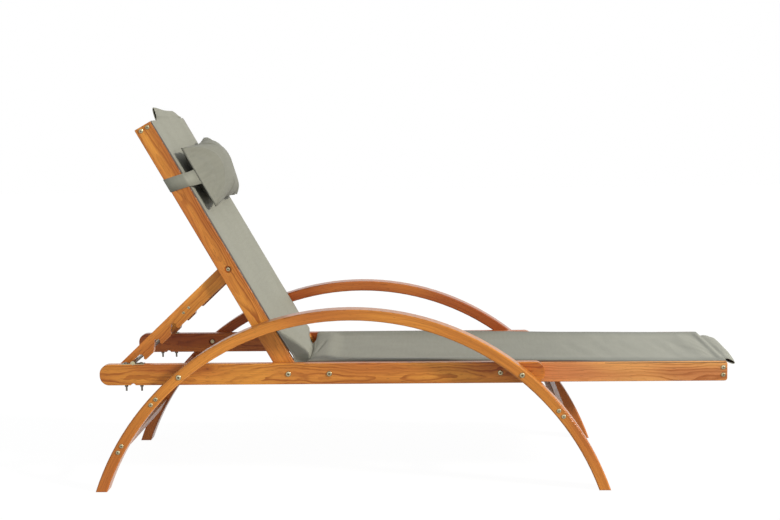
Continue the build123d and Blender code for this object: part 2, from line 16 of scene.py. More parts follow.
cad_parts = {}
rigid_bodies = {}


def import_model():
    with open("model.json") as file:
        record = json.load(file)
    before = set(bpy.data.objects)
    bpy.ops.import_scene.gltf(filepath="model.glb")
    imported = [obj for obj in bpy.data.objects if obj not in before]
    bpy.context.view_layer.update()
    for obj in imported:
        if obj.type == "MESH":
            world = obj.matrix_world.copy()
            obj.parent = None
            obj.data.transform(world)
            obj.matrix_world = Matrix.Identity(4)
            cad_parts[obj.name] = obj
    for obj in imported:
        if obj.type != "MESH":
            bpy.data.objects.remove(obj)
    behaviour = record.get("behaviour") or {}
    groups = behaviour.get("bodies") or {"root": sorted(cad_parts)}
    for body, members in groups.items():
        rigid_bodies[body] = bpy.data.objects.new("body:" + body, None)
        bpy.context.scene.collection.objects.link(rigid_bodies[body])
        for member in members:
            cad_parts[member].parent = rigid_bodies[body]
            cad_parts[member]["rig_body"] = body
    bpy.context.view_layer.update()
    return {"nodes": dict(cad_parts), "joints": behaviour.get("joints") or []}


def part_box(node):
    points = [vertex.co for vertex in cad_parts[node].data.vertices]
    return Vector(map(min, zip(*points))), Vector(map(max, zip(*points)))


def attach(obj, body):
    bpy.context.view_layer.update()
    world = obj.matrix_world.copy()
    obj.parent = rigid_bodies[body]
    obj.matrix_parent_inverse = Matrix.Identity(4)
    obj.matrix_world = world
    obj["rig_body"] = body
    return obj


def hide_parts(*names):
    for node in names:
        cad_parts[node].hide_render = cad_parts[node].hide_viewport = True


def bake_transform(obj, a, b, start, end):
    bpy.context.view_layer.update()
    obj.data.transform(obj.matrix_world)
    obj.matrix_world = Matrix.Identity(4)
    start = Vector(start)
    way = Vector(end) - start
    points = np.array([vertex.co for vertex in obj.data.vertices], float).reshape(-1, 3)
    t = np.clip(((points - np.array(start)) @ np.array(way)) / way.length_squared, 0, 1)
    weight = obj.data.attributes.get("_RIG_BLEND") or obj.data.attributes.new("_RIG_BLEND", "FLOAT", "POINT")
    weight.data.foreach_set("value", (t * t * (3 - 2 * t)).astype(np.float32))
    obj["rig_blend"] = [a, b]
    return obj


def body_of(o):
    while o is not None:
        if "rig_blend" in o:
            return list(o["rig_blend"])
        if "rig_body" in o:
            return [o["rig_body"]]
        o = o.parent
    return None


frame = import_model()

nodes = frame["nodes"]
joints = {joint["name"]: joint for joint in frame["joints"]}
hip = Vector(joints["backrest_recline"]["pos_m"])
up_the_back = Vector(joints["pillow_slide"]["axis"])
off_the_back = Vector((up_the_back.z, 0.0, -up_the_back.x))

# %% [markdown]
# ## Camera
# The view is the one that the photograph was taken from: 4.7 m from the lounger's middle line, about
# as high as its head end and turned down by six and a half degrees. The lens follows from the size.

# %% Camera
# yaw, pitch and roll in radians, place in metres, lens and sensor in millimetres
view_turn = (0.0381, 0.1139, -0.0142)
view_place = (0.0912, -4.6713, 1.2143)
FOCAL_LENGTH, SENSOR_WIDTH = 65.75, 36.0


def camera_axes(yaw, pitch, roll):
    """Right, up and forward of a camera that looks along +Y before it is turned."""
    level = Vector((math.cos(yaw), math.sin(yaw), 0))
    ahead = Vector((-math.sin(yaw) * math.cos(pitch), math.cos(yaw) * math.cos(pitch), -math.sin(pitch)))
    above = level.cross(ahead)
    right = math.cos(roll) * level + math.sin(roll) * above
    up = -math.sin(roll) * level + math.cos(roll) * above
    return right, up, ahead


right, up, ahead = camera_axes(*view_turn)
camera_data = bpy.data.cameras.new("photo_camera")
camera_data.sensor_fit = "HORIZONTAL"
camera_data.sensor_width = SENSOR_WIDTH
camera_data.lens = FOCAL_LENGTH
camera = bpy.data.objects.new("photo_camera", camera_data)
bpy.context.scene.collection.objects.link(camera)
turn = Matrix((right, up, -ahead)).transposed().to_4x4()
camera.matrix_world = Matrix.Translation(view_place) @ turn
bpy.context.scene.camera = camera
print("camera at", [round(c, 3) for c in camera.location])

# %% [markdown]
# ## Light
# A key from the front right, as in the photograph: the arches throw short shadows to the left on the
# base rails, and each back rail shades the strut behind it. A weak and very broad lamp in front opens
# those shadows, and an even pale surround fills the rest. The surround is white only for the camera
# and for reflections, so the white background adds no light to the object.

# %% Helpers for shader nodes
scene = bpy.context.scene
scene.view_settings.view_transform = "Standard"


def wire(tree, kind, inputs=None, **settings):
    """Adds a shader node; each input is a value, or an output socket to link from."""
    node = tree.nodes.new(kind)
    for name, value in settings.items():
        setattr(node, name, value)
    for name, value in (inputs or {}).items():
        if isinstance(value, bpy.types.NodeSocket):
            tree.links.new(value, node.inputs[name])
        else:
            node.inputs[name].default_value = value
    return node


def math_node(tree, operation, first, second=0.0):
    """One Math node; returns its output."""
    return wire(tree, "ShaderNodeMath", {0: first, 1: second}, operation=operation).outputs[0]


def times(tree, first, second):
    """Two values multiplied."""
    return math_node(tree, "MULTIPLY", first, second)


def remap(tree, value, low, high, to_low=0.0, to_high=1.0):
    """A smooth step of a value between two limits."""
    ends = {"Value": value, "From Min": low, "From Max": high, "To Min": to_low, "To Max": to_high}
    return wire(tree, "ShaderNodeMapRange", ends, interpolation_type="SMOOTHSTEP").outputs["Result"]


def mix_colors(tree, factor, first, second, blend_type="MIX"):
    """Mixes two colours; returns the colour output."""
    node = tree.nodes.new("ShaderNodeMix")
    node.data_type = "RGBA"
    node.blend_type = blend_type
    for index, value in ((0, factor), (6, first), (7, second)):
        if isinstance(value, bpy.types.NodeSocket):
            tree.links.new(value, node.inputs[index])
        else:
            node.inputs[index].default_value = value
    return node.outputs[2]


# %% Surround and lamps
def seen_by(tree, *kinds):
    """1 for rays of these kinds, 0 for the rest."""
    path = tree.nodes.new("ShaderNodeLightPath")
    share = path.outputs[kinds[0]]
    for kind in kinds[1:]:
        share = math_node(tree, "MAXIMUM", share, path.outputs[kind])
    return share


def add_sun(name, energy, width, toward, color=(1.0, 1.0, 1.0)):
    """A sun lamp: width in degrees is how soft its shadows are, toward is the side it stands on."""
    data = bpy.data.lights.new(name, "SUN")
    data.energy = energy
    data.angle = math.radians(width)
    data.color = color
    lamp = bpy.data.objects.new(name, data)
    scene.collection.objects.link(lamp)
    lamp.matrix_world = Vector(toward).normalized().to_track_quat("Z", "Y").to_matrix().to_4x4()


FILL_COLOR, FILL_STRENGTH = (0.93, 0.96, 1.0, 1), 0.43
WHITE = (1, 1, 1, 1)
world = bpy.data.worlds.new("pale_surround")
scene.world = world
world.use_nodes = True
tree = world.node_tree
tree.nodes.clear()
seen = seen_by(tree, "Is Camera Ray", "Is Glossy Ray", "Is Transmission Ray")
fill = wire(tree, "ShaderNodeBackground", {"Color": FILL_COLOR, "Strength": FILL_STRENGTH})
backdrop = wire(tree, "ShaderNodeBackground", {"Color": WHITE, "Strength": 1.0})
both_lights = wire(tree, "ShaderNodeMixShader", {0: seen, 1: fill.outputs[0], 2: backdrop.outputs[0]})
wire(tree, "ShaderNodeOutputWorld", {"Surface": both_lights.outputs[0]})
add_sun("front_right_key", 2.7, 7, (0.79, -0.355, 0.44), (1.0, 0.965, 0.91))
add_sun("soft_front", 0.5, 50, (0.10, -0.95, 0.30))
print("surround and", len(bpy.data.lights), "lamps ready")

# %% Floor
# for the camera it is nearly white, with the shadow of the lounger left in it
FLOOR_HALF = 14.0
FLOOR_GLOW, GLOW_SHARE = 1.12, 0.86
floor_mesh = bmesh.new()
bmesh.ops.create_grid(floor_mesh, x_segments=2, y_segments=2, size=FLOOR_HALF)
floor_data = bpy.data.meshes.new("floor")
floor_mesh.to_mesh(floor_data)
floor_mesh.free()
floor = bpy.data.objects.new("floor", floor_data)
scene.collection.objects.link(floor)

floor_material = bpy.data.materials.new("pale_floor")
floor_material.use_nodes = True
tree = floor_material.node_tree
tree.nodes.clear()
seen = seen_by(tree, "Is Camera Ray", "Is Glossy Ray")
matte = wire(tree, "ShaderNodeBsdfDiffuse", {"Color": (0.5, 0.5, 0.49, 1)})
glow = wire(tree, "ShaderNodeEmission", {"Color": WHITE, "Strength": FLOOR_GLOW})
share = times(tree, seen, GLOW_SHARE)
surface = wire(tree, "ShaderNodeMixShader", {0: share, 1: matte.outputs[0], 2: glow.outputs[0]})
wire(tree, "ShaderNodeOutputMaterial", {"Surface": surface.outputs[0]})
floor_data.materials.append(floor_material)
print("floor", [round(size, 1) for size in floor.dimensions])

# %% [markdown]
# ## Stained softwood
# The frame is larch-like softwood under an orange-brown stain: dark late-wood lines, long flames
# where a board is cut flat, short fibres and a few knots that the lines bend around. A board is
# sawn from a log, so the pattern is made in the same way: growth rings around an axis, the pith,
# that runs near the board. Cutting them with the real solid gives flames on one face, straight
# lines on the next and rings on the end grain, and no picture is needed.

# %% Node group: softwood figure
COLOR, VECTOR, FLOAT = "NodeSocketColor", "NodeSocketVector", "NodeSocketFloat"


def new_group(name, inputs, outputs):
    """A shader node group with named sockets; returns the group, its input and its output node."""
    group = bpy.data.node_groups.new(name, "ShaderNodeTree")
    for label, kind, value in inputs:
        socket = group.interface.new_socket(label, in_out="INPUT", socket_type=kind)
        if value is not None:
            socket.default_value = value
    for label, kind in outputs:
        group.interface.new_socket(label, in_out="OUTPUT", socket_type=kind)
    return group, group.nodes.new("NodeGroupInput"), group.nodes.new("NodeGroupOutput")


def vector_node(tree, operation, first, second):
    """One Vector Math node; returns its vector."""
    return wire(tree, "ShaderNodeVectorMath", {0: first, 1: second}, operation=operation).outputs[0]


def scaled(tree, vector, scale):
    """A vector with each axis multiplied."""
    return vector_node(tree, "MULTIPLY", vector, scale)


def stretched_noise(tree, lengths, stretch, detail, **more):
    """Noise that is stretched along each axis; returns the node."""
    inputs = {"Vector": scaled(tree, lengths, stretch), "Scale": 1.0, "Detail": detail}
    return wire(tree, "ShaderNodeTexNoise", {**inputs, **more})


def sideways(tree, lengths, stretch, reach):
    """Noise as a shift to both sides of the grain, by up to about half the reach, in metres."""
    cloudy = stretched_noise(tree, lengths, stretch, 2.0).outputs["Color"]
    return scaled(tree, vector_node(tree, "SUBTRACT", cloudy, (0.5, 0.5, 0.5)), (0.0, reach, reach))


def grey(tree, value):
    """One value on all three channels, to multiply a colour by."""
    return wire(tree, "ShaderNodeCombineXYZ", {0: value, 1: value, 2: value}).outputs[0]


figure, start, end = new_group(
    "softwood_figure",
    [
        ("Vector", VECTOR, None),
        ("Early wood", COLOR, (0.64, 0.24, 0.045, 1)),
        ("Late wood", COLOR, (0.30, 0.07, 0.011, 1)),
        ("Knot", COLOR, (0.075, 0.018, 0.005, 1)),
        ("Ring width", FLOAT, 0.0042),
        ("Contrast", FLOAT, 0.75),
        ("Knot size", FLOAT, 1.0),
    ],
    [("Color", COLOR), ("Roughness", FLOAT), ("Height", FLOAT)],
)
early_wood, late_wood, knot_wood = (start.outputs[name] for name in ("Early wood", "Late wood", "Knot"))
# the rings wander in long waves and short ripples, and swirl round the knots
along = start.outputs["Vector"]
waves = sideways(figure, along, (1.6, 7, 7), 0.052)
ripples = sideways(figure, along, (11, 30, 30), 0.009)
bent = vector_node(figure, "ADD", along, vector_node(figure, "ADD", waves, ripples))
knots = wire(
    figure, "ShaderNodeTexVoronoi", {"Vector": scaled(figure, along, (3.4, 8.5, 8.5)), "Scale": 1.0}
)
knot_distance = math_node(figure, "DIVIDE", knots.outputs["Distance"], start.outputs["Knot size"])
swirl = times(figure, remap(figure, knot_distance, 0.34, 0.0), 0.011)
log_section = scaled(figure, bent, (0.0, 1, 1))
from_pith = wire(figure, "ShaderNodeVectorMath", {0: log_section}, operation="LENGTH").outputs["Value"]
radius = math_node(figure, "ADD", from_pith, swirl)
ring = math_node(figure, "DIVIDE", radius, start.outputs["Ring width"])
in_ring = math_node(figure, "FRACT", ring)
# late wood comes on slowly and ends sharply, and some rings and places have more of it than others
late = times(figure, remap(figure, in_ring, 0.35, 0.88), remap(figure, in_ring, 1.0, 0.93))
ring_number = math_node(figure, "FLOOR", ring)
ring_strength = wire(figure, "ShaderNodeTexWhiteNoise", {"W": ring_number}, noise_dimensions="1D")
late = times(figure, late, remap(figure, ring_strength.outputs["Value"], 0.0, 1.0, 0.35, 1.0))
bold = stretched_noise(figure, along, (2.6, 22, 22), 1.0).outputs["Fac"]
late = times(figure, late, remap(figure, bold, 0.38, 0.62, 0.3, 1.0))
fibre = stretched_noise(figure, along, (9, 420, 420), 3.0, Roughness=0.6).outputs["Fac"]
streak = stretched_noise(figure, along, (1.3, 26, 26), 2.0).outputs["Fac"]
tone = times(figure, remap(figure, streak, 0.32, 0.68), 0.42)
early = mix_colors(figure, tone, early_wood, late_wood)
color = mix_colors(figure, times(figure, late, start.outputs["Contrast"]), early, late_wood)
# the stain took unevenly, the fibres are lighter and darker, and pores show as short dark dashes
cast = stretched_noise(figure, along, (2.4, 13, 13), 1.0).outputs["Fac"]
cast = mix_colors(figure, remap(figure, cast, 0.36, 0.64), (0.86, 0.74, 0.7, 1), (1.1, 1.16, 0.95, 1))
color = mix_colors(figure, 1.0, color, cast, "MULTIPLY")
fibre_shade = remap(figure, fibre, 0.3, 0.7, 0.86, 1.08)
color = mix_colors(figure, 1.0, color, grey(figure, fibre_shade), "MULTIPLY")
pore = stretched_noise(figure, along, (45, 700, 700), 1.0).outputs["Fac"]
color = mix_colors(figure, times(figure, remap(figure, pore, 0.66, 0.74), 0.55), color, knot_wood)
halo = times(figure, remap(figure, knot_distance, 0.22, 0.06), 0.55)
color = mix_colors(figure, halo, color, late_wood)
color = mix_colors(figure, remap(figure, knot_distance, 0.085, 0.04), color, knot_wood)
figure.links.new(color, end.inputs["Color"])
figure.links.new(remap(figure, fibre, 0.3, 0.7, 0.38, 0.52), end.inputs["Roughness"])
figure.links.new(math_node(figure, "ADD", times(figure, late, 0.6), fibre), end.inputs["Height"])
print("softwood group nodes", len(figure.nodes))

# %% [markdown]
# Each board gets the same group, turned so that the rings run along it, with the pith at its own
# distance. The arches are glued up from thin bent layers, so their grain has to follow the bend:
# the angle around the arch's centre becomes the length, and the distance from it the thickness.

# %% Wood materials
def group_node(tree, group, inputs):
    """Places a node group in a material."""
    node = tree.nodes.new("ShaderNodeGroup")
    node.node_tree = group
    for name, value in inputs.items():
        if isinstance(value, bpy.types.NodeSocket):
            tree.links.new(value, node.inputs[name])
        else:
            node.inputs[name].default_value = value
    return node


def new_material(name):
    """An empty node material with a Principled surface; returns the material, its tree and shader."""
    material = bpy.data.materials.new(name)
    material.use_nodes = True
    material.node_tree.nodes.clear()
    tree = material.node_tree
    shader = tree.nodes.new("ShaderNodeBsdfPrincipled")
    wire(tree, "ShaderNodeOutputMaterial", {"Surface": shader.outputs[0]})
    return material, tree, shader


def finish_wood(tree, shader, vector, early, late, ring_width, contrast, knot_size, gloss=0.55):
    """Links the softwood group to a wood material's shader."""
    group = group_node(
        tree, figure,
        {
            "Vector": vector, "Early wood": (*early, 1), "Late wood": (*late, 1),
            "Ring width": ring_width, "Contrast": contrast, "Knot size": knot_size,
        },
    )
    bump = wire(
        tree, "ShaderNodeBump", {"Height": group.outputs["Height"], "Strength": 0.15, "Distance": 0.0004}
    )
    tree.links.new(group.outputs["Color"], shader.inputs["Base Color"])
    tree.links.new(group.outputs["Roughness"], shader.inputs["Roughness"])
    tree.links.new(bump.outputs["Normal"], shader.inputs["Normal"])
    shader.inputs["Specular IOR Level"].default_value = 0.12
    shader.inputs["Coat Weight"].default_value = gloss
    shader.inputs["Coat IOR"].default_value = 1.32
    shader.inputs["Coat Roughness"].default_value = 0.2


honey, amber = (0.73, 0.285, 0.056), (0.33, 0.082, 0.013)


def board_material(name, centre, degrees, pith, early=honey, late=amber, ring_width=0.0042,
                   contrast=0.75, knot_size=1.0, across=False, gloss=0.55):
    """Wood for a straight piece: degrees is its heading in the side view, pith how far the log's
    middle lies from its centre line, along the depth of the piece and across it."""
    material, tree, shader = new_material(name)
    if across:
        rotation = Matrix.Rotation(math.radians(-90), 3, "Z")
        angles = (0, 0, math.radians(-90))
    else:
        rotation = Matrix.Rotation(math.radians(degrees), 3, "Y")
        angles = (0, math.radians(degrees), 0)
    shift = Vector((0.31 * len(name), pith[0], pith[1])) - rotation @ Vector(centre)
    where = wire(tree, "ShaderNodeTexCoord").outputs["Object"]
    mapping = wire(tree, "ShaderNodeMapping", {"Vector": where, "Location": shift, "Rotation": angles})
    finish_wood(tree, shader, mapping.outputs[0], early, late, ring_width, contrast, knot_size, gloss)
    return material


def middle(node):
    """The middle of a CAD node's box."""
    low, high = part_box(node)
    return (low + high) / 2


def dress(node, material):
    """Gives a CAD node its material."""
    slots = nodes[node].data.materials
    slots.clear()
    slots.append(material)


back_heading = math.degrees(math.atan2(up_the_back.z, up_the_back.x))
strut_heading = 223.15
boards = {
    "base_rail_near": (0, (-0.045, 0.004), 0.0040),
    "base_rail_far": (0, (-0.050, -0.006), 0.0042),
    "seat_rail_near": (0, (-0.046, 0.026), 0.0044),
    "seat_rail_far": (0, (0.030, 0.050), 0.0046),
    "back_rail_near": (back_heading, (-0.048, -0.014), 0.0044),
    "back_rail_far": (back_heading, (0.026, 0.045), 0.0050),
    "strut_near": (strut_heading, (-0.040, 0.022), 0.0046),
    "strut_far": (strut_heading, (0.024, -0.041), 0.0050),
}
# own colours for two boards: the near seat rail is a lighter, yellower board, and the far base rail is
# darker and redder as painted shade, since its inner face lies in shadow
board_tones_and_painted_shade = {
    "seat_rail_near": ((0.83, 0.37, 0.135), (0.46, 0.15, 0.035)),
    "base_rail_far": ((0.56, 0.165, 0.04), (0.26, 0.05, 0.012)),
}
knot_sizes = {"seat_rail_near": 0.4, "base_rail_near": 0.45}
BOARD_CONTRAST, BOARD_KNOTS = 0.9, 0.8
for node, (degrees, pith, ring_width) in boards.items():
    early, late = board_tones_and_painted_shade.get(node, (honey, amber))
    wood = board_material(
        f"wood_{node}", middle(node), degrees, pith, early, late, ring_width, BOARD_CONTRAST,
        knot_sizes.get(node, BOARD_KNOTS),
    )
    dress(node, wood)
cross_bars = {
    "foot_crossbar": (0.03, 0.05),
    "leg_bar_head_upper": (0.045, 0.03),
    "leg_bar_head_lower": (-0.04, 0.035),
    "leg_bar_foot": (0.05, -0.03),
    "back_top_crossbar": (0.04, 0.05),
    "strut_crossbar": (-0.05, 0.03),
}
bar_brown, BAR_GLOSS = (0.55, 0.20, 0.05), 0.22
for node, pith in cross_bars.items():
    wood = board_material(
        f"wood_{node}", middle(node), 0, pith, bar_brown, across=True, gloss=BAR_GLOSS
    )
    dress(node, wood)
print("wooden boards and bars", len(boards) + len(cross_bars))

# %% Arch wood
arch_low, arch_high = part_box("arch_near")
arch_centre_x = (arch_low.x + arch_high.x) / 2
half_span = (arch_high.x - arch_low.x) / 2
arch_outer = (half_span ** 2 + arch_high.z ** 2) / (2 * arch_high.z)
arch_centre_z = arch_high.z - arch_outer
ARCH_RING, ARCH_CONTRAST, ARCH_KNOTS = 0.0062, 0.5, 0.8
LAYER, GLUE_SHADE = 0.0068, 0.3


def arch_material(name, pith, early, late):
    """Wood bent with the arch, with faint glue lines between its layers."""
    material, tree, shader = new_material(name)
    place = wire(tree, "ShaderNodeSeparateXYZ", {0: wire(tree, "ShaderNodeTexCoord").outputs["Object"]})
    over = math_node(tree, "SUBTRACT", place.outputs["X"], arch_centre_x)
    rise = math_node(tree, "SUBTRACT", place.outputs["Z"], arch_centre_z)
    angle = math_node(tree, "ARCTAN2", over, rise)
    squares = math_node(tree, "ADD", times(tree, over, over), times(tree, rise, rise))
    depth = math_node(tree, "SUBTRACT", arch_outer, math_node(tree, "SQRT", squares))
    bent_place = wire(
        tree, "ShaderNodeCombineXYZ",
        {
            0: times(tree, angle, arch_outer),
            1: math_node(tree, "ADD", place.outputs["Y"], pith[0]),
            2: math_node(tree, "ADD", depth, pith[1]),
        },
    )
    finish_wood(
        tree, shader, bent_place.outputs[0], early, late, ARCH_RING, ARCH_CONTRAST, ARCH_KNOTS
    )
    layers = math_node(tree, "FRACT", math_node(tree, "DIVIDE", depth, LAYER))
    off_middle = math_node(tree, "ABSOLUTE", math_node(tree, "SUBTRACT", layers, 0.5))
    line = times(tree, remap(tree, off_middle, 0.44, 0.5), GLUE_SHADE)
    color = shader.inputs["Base Color"].links[0].from_socket
    tree.links.new(mix_colors(tree, line, color, (0.16, 0.045, 0.012, 1)), shader.inputs["Base Color"])
    return material


near_wood = arch_material("wood_arch_near", (0.26, 0.06), (0.70, 0.255, 0.050), (0.35, 0.088, 0.014))
# the far arch gets darker, redder wood than the near one: painted shade, for its faces that are seen in the
# lounger's shadow
far_wood_painted_shade = arch_material("wood_arch_far_painted_shade", (-0.27, 0.05), (0.56, 0.165, 0.038), (0.27, 0.055, 0.012))
dress("arch_near", near_wood)
dress("arch_far", far_wood_painted_shade)
print("arch radius", round(arch_outer, 4), "centre", round(arch_centre_x, 4), round(arch_centre_z, 4))

# %% [markdown]
# ## Zinc-plated steel
# Bolts, screws, nuts, plates and the rod are zinc with a faint yellow passivated film. Its gloss is
# broken by fine spangle and handling marks, and a painted shade darkens its colour where a rounded
# edge turns away from the camera. The saddle bolts and their nuts are duller and darker in the
# photograph, and get a plain steel of their own.

# %% Zinc and dull steel
zinc, tree, shader = new_material("zinc_steel")
where = wire(tree, "ShaderNodeTexCoord").outputs["Object"]
marks = wire(
    tree, "ShaderNodeTexNoise", {"Vector": where, "Scale": 160.0, "Detail": 4.0, "Roughness": 0.65}
)
cloud = wire(tree, "ShaderNodeTexNoise", {"Vector": where, "Scale": 22.0, "Detail": 2.0})
tree.links.new(remap(tree, marks.outputs["Fac"], 0.3, 0.7, 0.24, 0.42), shader.inputs["Roughness"])
film = mix_colors(
    tree, remap(tree, cloud.outputs["Fac"], 0.35, 0.65), (0.36, 0.31, 0.18, 1), (0.50, 0.45, 0.29, 1)
)
# painted shade: the colour darkens towards near black where the surface turns away from the camera
turned = wire(tree, "ShaderNodeLayerWeight", {"Blend": 0.5}).outputs["Facing"]
tree.links.new(mix_colors(tree, turned, film, (0.07, 0.06, 0.045, 1)), shader.inputs["Base Color"])
bump = wire(tree, "ShaderNodeBump", {"Height": marks.outputs["Fac"], "Strength": 0.08, "Distance": 0.0002})
tree.links.new(bump.outputs["Normal"], shader.inputs["Normal"])
shader.inputs["Metallic"].default_value = 1.0


def plain_steel(name, color, metallic, roughness):
    """One colour of steel, the same all over."""
    material, _, shader = new_material(name)
    shader.inputs["Base Color"].default_value = (*color, 1)
    shader.inputs["Metallic"].default_value = metallic
    shader.inputs["Roughness"].default_value = roughness
    return material


dull_steel = plain_steel("dull_steel", (0.16, 0.145, 0.12), 0.8, 0.5)
steel_nodes = [name for name in nodes if name not in boards and name not in cross_bars
               and not name.startswith(("arch_near", "arch_far"))
               and not name.endswith("sling") and not name.startswith("pillow")]
for name in steel_nodes:
    dress(name, dull_steel if name in ("saddle_nuts", "saddle_bolts") else zinc)
print("steel nodes", len(steel_nodes))

# %% [markdown]
# ## Bolts and screws
# The imported heads are plain discs. The real bolts have domed button heads with a hexagon socket for a
# key, the screws have flatter heads with a cross recess, and the saddle bolts are smooth domes. Each
# one is turned here from a short profile in the place of its packed twin. The rim left open in the
# head is drawn to a hexagon or a cross, pushed down and closed, and the walls and floor of the recess
# are coloured a dull dark brown as painted shade.

# %% Bolts and screws
TURN_STEPS = 24
# shares of the head's radius, and depth in metres
HEXAGON_REACH = 0.40
CROSS_REACH, CROSS_HALF_WIDTH = 0.56, 0.13
RECESS_DEPTH = 0.0016


def loose_parts(node):
    """The vertex places of each loose part of a CAD node."""
    mesh = bmesh.new()
    mesh.from_mesh(nodes[node].data)
    bmesh.ops.remove_doubles(mesh, verts=mesh.verts[:], dist=0.00001)
    waiting = set(mesh.verts)
    parts = []
    while waiting:
        reached = [waiting.pop()]
        for vertex in reached:
            for edge in vertex.link_edges:
                other = edge.other_vert(vertex)
                if other in waiting:
                    waiting.remove(other)
                    reached.append(other)
        parts.append(np.array([nodes[node].matrix_world @ vertex.co for vertex in reached]))
    mesh.free()
    return parts


def fastener_sizes(places):
    """Reads one packed bolt: its foot on the axis, its direction, radii and lengths."""
    low, high = places.min(axis=0), places.max(axis=0)
    axis = int(np.argmax(high - low))
    centre = (low + high) / 2
    outward = Vector((0, 0, 0))
    outward[axis] = 1.0 if axis == 2 or centre[axis] > 0 else -1.0
    centre[axis] = 0.0
    run = places[:, axis] * outward[axis]
    reach = np.linalg.norm(np.delete(places - centre, axis, axis=1), axis=1)
    shank = float(reach[run < run.min() + 0.0005].max())
    wide = reach > shank * 1.15
    head, top, base = float(reach.max()), float(run.max()), float(run[wide].min())
    return Vector(centre), outward, shank, head, float(run.min()), base, top


def recess_reach(angle, kind):
    """How far the recess reaches in one direction, as a share of the head's radius."""
    if kind == "hexagon":
        return HEXAGON_REACH / math.cos((angle + math.pi / 6) % (math.pi / 3) - math.pi / 6)
    folded = (angle + math.pi / 4) % (math.pi / 2) - math.pi / 4
    return min(CROSS_REACH / math.cos(folded), CROSS_HALF_WIDTH / max(abs(math.sin(folded)), 0.001))


def turn_fastener(mesh, places, kind):
    """Adds one bolt or screw to a mesh: turned about its axis, with its recess."""
    centre, outward, shank, head, end, base, top = fastener_sizes(places)
    rise = max(top - base, 0.0)
    if rise < 0.0008:
        profile = [(0, end), (shank, end), (shank, base - shank), (head, base), (0.62 * head, base)]
    else:
        profile = [
            (0, end), (shank, end), (shank, base), (0.97 * head, base), (head, base + 0.12 * rise),
            (0.95 * head, base + 0.5 * rise), (0.82 * head, base + 0.82 * rise), (0.62 * head, top),
        ]
    if kind == "plain":
        profile.append((0, top + 0.0002))
    before = set(mesh.verts)
    points = [mesh.verts.new((radius, 0, height)) for radius, height in profile]
    lines = [mesh.edges.new(pair) for pair in zip(points, points[1:])]
    bmesh.ops.spin(
        mesh, geom=points + lines, cent=(0, 0, 0), axis=(0, 0, 1), dvec=(0, 0, 0),
        angle=2 * math.pi, steps=TURN_STEPS, use_merge=True,
    )
    fresh = [vertex for vertex in mesh.verts if vertex not in before]
    bmesh.ops.remove_doubles(mesh, verts=fresh, dist=0.000001)
    rim = [edge for edge in mesh.edges if edge.is_boundary]
    if rim:
        for vertex in {vertex for edge in rim for vertex in edge.verts}:
            angle = math.atan2(vertex.co.y, vertex.co.x)
            reach = head * recess_reach(angle, kind)
            vertex.co.x, vertex.co.y = reach * math.cos(angle), reach * math.sin(angle)
        sunk = bmesh.ops.extrude_edge_only(mesh, edges=rim)["geom"]
        floor_verts = [element for element in sunk if isinstance(element, bmesh.types.BMVert)]
        bmesh.ops.translate(mesh, verts=floor_verts, vec=(0, 0, -RECESS_DEPTH))
        bmesh.ops.scale(mesh, verts=floor_verts, vec=(0.8, 0.8, 1))
        bmesh.ops.edgeloop_fill(mesh, edges=[edge for edge in mesh.edges if edge.is_boundary])
        # the recess walls and floor take the second material, a painted shade
        for face in {face for vertex in floor_verts for face in vertex.link_faces}:
            face.material_index = 1
    fresh = [vertex for vertex in mesh.verts if vertex not in before]
    turn = outward.to_track_quat("Z", "Y").to_matrix().to_4x4()
    bmesh.ops.transform(mesh, matrix=Matrix.Translation(centre) @ turn, verts=fresh)


def fix_order(mesh):
    """Sorts a bmesh by place. Extrude and spin hand over their faces in another order on each run, and
    a cloth simulation that starts from another order ends in another shape."""
    by_place = sorted(mesh.verts, key=lambda vertex: tuple(round(c, 6) for c in vertex.co))
    rank = {vertex: number for number, vertex in enumerate(by_place)}
    mesh.verts.sort(key=lambda vertex: rank[vertex])
    mesh.verts.index_update()
    for elements in (mesh.edges, mesh.faces):
        by_corners = sorted(elements, key=lambda element: sorted(v.index for v in element.verts))
        rank = {element: number for number, element in enumerate(by_corners)}
        elements.sort(key=lambda element: rank[element])


def new_piece(name, mesh, material):
    """Turns a bmesh into an object of the scene, in an order that is the same on each run."""
    fix_order(mesh)
    data = bpy.data.meshes.new(name)
    mesh.to_mesh(data)
    mesh.free()
    data.materials.append(material)
    piece = bpy.data.objects.new(name, data)
    scene.collection.objects.link(piece)
    return piece


# %% Turn each kind of fastener
# a dull dark brown for the walls and floor of each recess: painted shade in the hollow
recess_painted_shade = plain_steel("recess_painted_shade", (0.15, 0.12, 0.075), 0.6, 0.55)
SHARP_EDGE = math.radians(38)
fasteners = {
    "arch_bolts": "hexagon", "seat_rail_bolts": "hexagon", "pivot_bolts": "hexagon",
    "strut_bolts": "hexagon", "saddle_bolts": "plain", "leg_bar_screws": "cross",
    "foot_crossbar_screws": "cross", "back_crossbar_screws": "cross", "strut_crossbar_screws": "cross",
}
for node, kind in fasteners.items():
    mesh = bmesh.new()
    packed = loose_parts(node)
    for places in packed:
        turn_fastener(mesh, places, kind)
    bmesh.ops.recalc_face_normals(mesh, faces=mesh.faces[:])
    for face in mesh.faces:
        face.smooth = True
    for edge in mesh.edges:
        edge.smooth = edge.calc_face_angle(0.0) < SHARP_EDGE
    piece = new_piece(f"turned_{node}", mesh, nodes[node].data.materials[0])
    piece.data.materials.append(recess_painted_shade)
    body = body_of(nodes[node])
    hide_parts(node)
    if body:
        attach(piece, body[0])
    print(node, len(packed), kind, "rides", body)

# %% [markdown]
# ## Cloth
# The sling, the pillow and its straps are a matt plastic-coated weave in grey-green. From here the
# single threads are too fine to see, but they break up the gloss and leave a faint slub. The weave
# follows the cloth's own lengths, so it bends with every fold.

